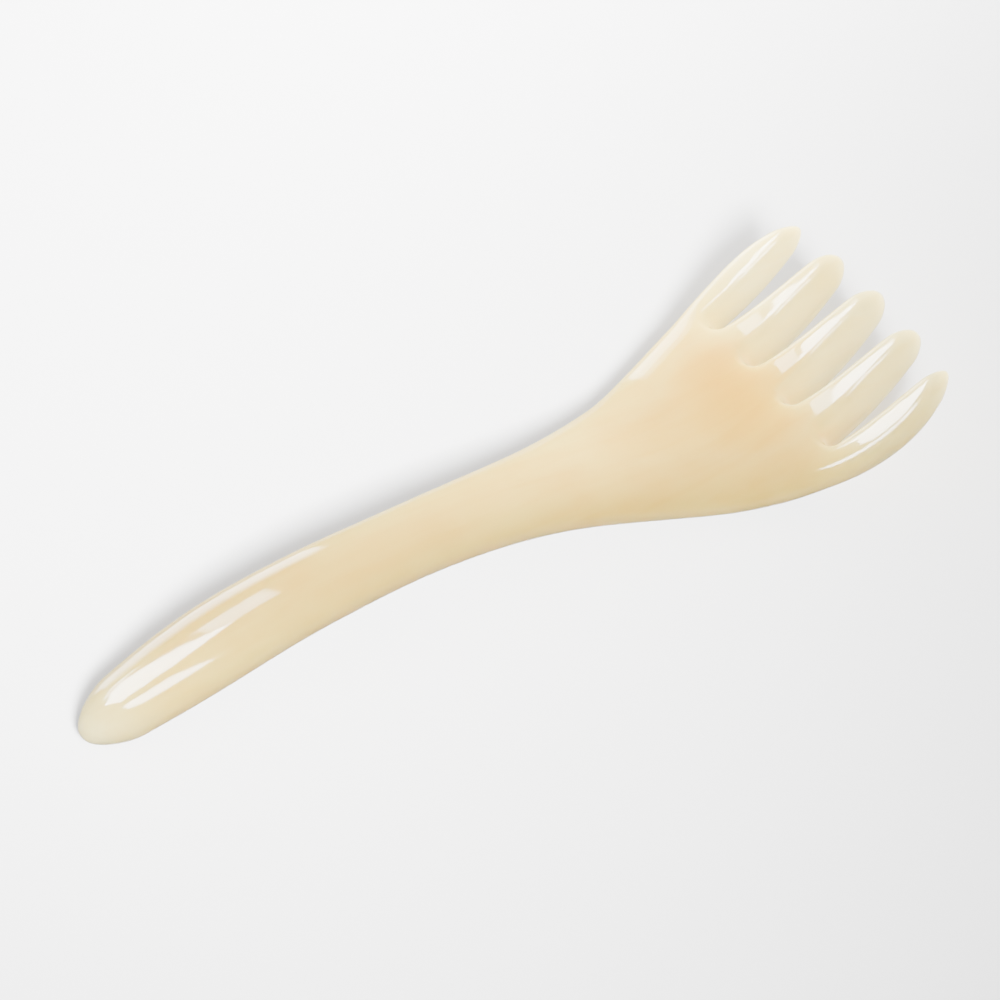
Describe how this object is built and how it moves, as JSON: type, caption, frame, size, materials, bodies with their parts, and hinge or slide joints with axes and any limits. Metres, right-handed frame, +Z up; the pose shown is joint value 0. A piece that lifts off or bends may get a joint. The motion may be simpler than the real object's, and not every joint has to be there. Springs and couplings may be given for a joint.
{
  "type": "rake comb",
  "caption": "Hand-held rake comb moulded in one piece: rounded handle, narrow neck, widening palm and upturned tapering finger-like teeth.",
  "frame": {"origin": "on the supporting surface, under the middle of the comb's bounding box", "axes": "+X from the handle end to the tooth tips, +Y across the comb, +Z up, the teeth curving upwards"},
  "size_m": [0.179, 0.0594, 0.0234],
  "materials": {
    "resin": "polished, slightly translucent ivory resin"
  },
  "bodies": {
    "root": {"comb": "resin"}
  },
  "joints": []
}
